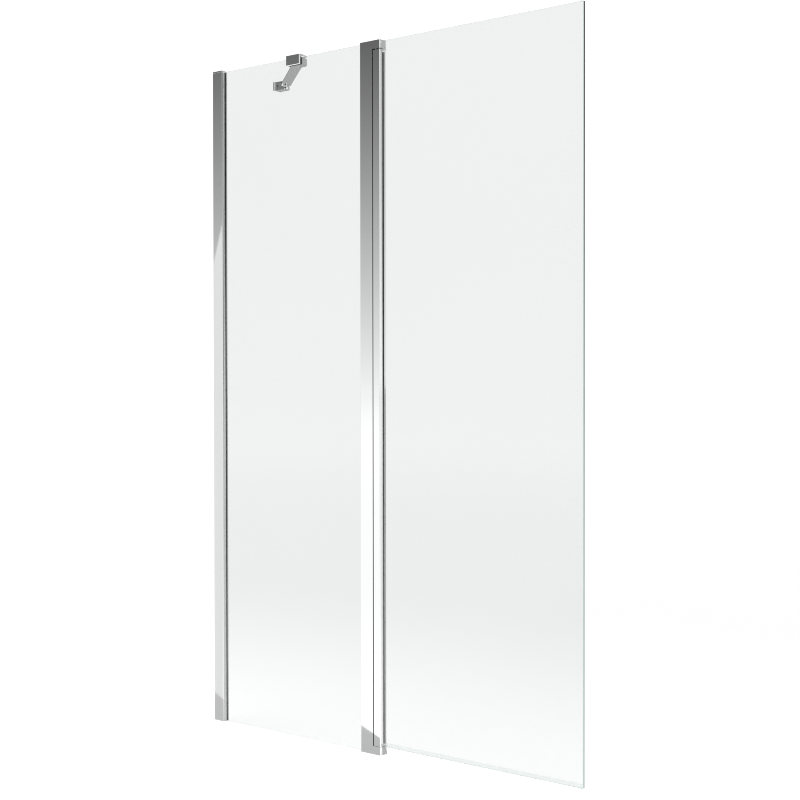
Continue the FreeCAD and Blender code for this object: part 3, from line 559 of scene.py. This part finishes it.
def mirrored_room(tree, direction, parts, depth):
    """The brightness that polished faces mirror: dark above on one side, and less when mirrored twice."""
    height = parts["Z"]
    towards_dark = vector_node(tree, "DOT_PRODUCT", direction, DARK_SIDE)
    dark_part = map_range(tree, towards_dark, DARK_SIDE_START, DARK_SIDE_FULL, smooth=True)
    dark_step = map_range(tree, height, GRADIENT_LOW, GRADIENT_HIGH, DARK_SIDE_LOW, DARK_SIDE_HIGH)
    dark_tone = math_node(tree, "POWER", dark_step, DARK_SIDE_POWER)
    far_tone = map_range(tree, height, GRADIENT_LOW, GRADIENT_HIGH, FAR_SIDE_LOW, FAR_SIDE_HIGH)
    camera_tone = map_range(tree, height, GRADIENT_LOW, GRADIENT_HIGH, CAMERA_SIDE_LOW, CAMERA_SIDE_HIGH)
    light_tone = mix_number(tree, far_side(tree, parts), camera_tone, far_tone)
    once = mix_number(tree, dark_part, light_tone, dark_tone)
    is_twice = math_node(tree, "GREATER_THAN", depth, MIRRORED_TWICE)
    return math_node(tree, "MULTIPLY", once, mix_number(tree, is_twice, 1.0, TWICE_MIRRORED))


def seen_room(tree, parts, depth):
    """The backdrop that shows directly and through glass, and its tone in metal that glass veils."""
    height = parts["Z"]
    backdrop = map_range(tree, height, 0.0, BACKDROP_TOP, BACKDROP_LOW, BACKDROP_HIGH)
    veiled_tone = map_range(tree, height, VEILED_START, VEILED_END, VEILED_LOW, VEILED_HIGH)
    is_mirrored = math_node(tree, "GREATER_THAN", depth, MIRRORED_ONCE)
    is_veiled = math_node(tree, "MULTIPLY", is_mirrored, far_side(tree, parts))
    return mix_number(tree, is_veiled, backdrop, veiled_tone)


def add_room():
    """A white studio whose brightness differs for rays seen, mirrored and scattered."""
    world = bpy.data.worlds.new("studio")
    bpy.context.scene.world = world
    world.use_nodes = True
    world.cycles.sampling_method = "NONE"
    tree = world.node_tree
    tree.nodes.clear()
    direction = tree.nodes.new("ShaderNodeTexCoord").outputs["Generated"]
    parts = axis_parts(tree, direction)
    path = tree.nodes.new("ShaderNodeLightPath").outputs
    depth = path["Glossy Depth"]
    is_seen = math_node(tree, "MAXIMUM", path["Is Camera Ray"], path["Is Transmission Ray"])
    seen = mix_number(tree, is_seen, ROOM_LIGHT, seen_room(tree, parts, depth))
    strength = mix_number(tree, mirror_ray(tree), seen, mirrored_room(tree, direction, parts, depth))
    background = tree.nodes.new("ShaderNodeBackground")
    background.inputs["Color"].default_value = WHITE
    tree.links.new(strength, background.inputs["Strength"])
    output = tree.nodes.new("ShaderNodeOutputWorld")
    tree.links.new(background.outputs[0], output.inputs["Surface"])


def add_camera():
    """The photo's point of view."""
    forward = Vector((
        -math.sin(CAMERA_YAW) * math.cos(CAMERA_PITCH),
        math.cos(CAMERA_YAW) * math.cos(CAMERA_PITCH),
        math.sin(CAMERA_PITCH),
    ))
    level = Vector((math.cos(CAMERA_YAW), math.sin(CAMERA_YAW), 0.0))
    upright = level.cross(forward)
    across = math.cos(CAMERA_ROLL) * level + math.sin(CAMERA_ROLL) * upright
    above = -math.sin(CAMERA_ROLL) * level + math.cos(CAMERA_ROLL) * upright
    lens = bpy.data.cameras.new("camera")
    lens.lens = CAMERA_LENS
    lens.sensor_width = CAMERA_SENSOR
    lens.clip_end = 2.0 * FLOOR_HALF
    camera = bpy.data.objects.new("camera", lens)
    turned = Matrix((across, above, -forward)).transposed().to_4x4()
    camera.matrix_world = Matrix.Translation(CAMERA_PLACE) @ turned
    bpy.context.scene.collection.objects.link(camera)
    bpy.context.scene.camera = camera


dress(frame)
add_floor()
add_shade_cards()
add_room()
add_camera()
bpy.context.scene.view_settings.view_transform = "Standard"
bpy.context.scene.cycles.filter_width = PIXEL_FILTER_WIDTH
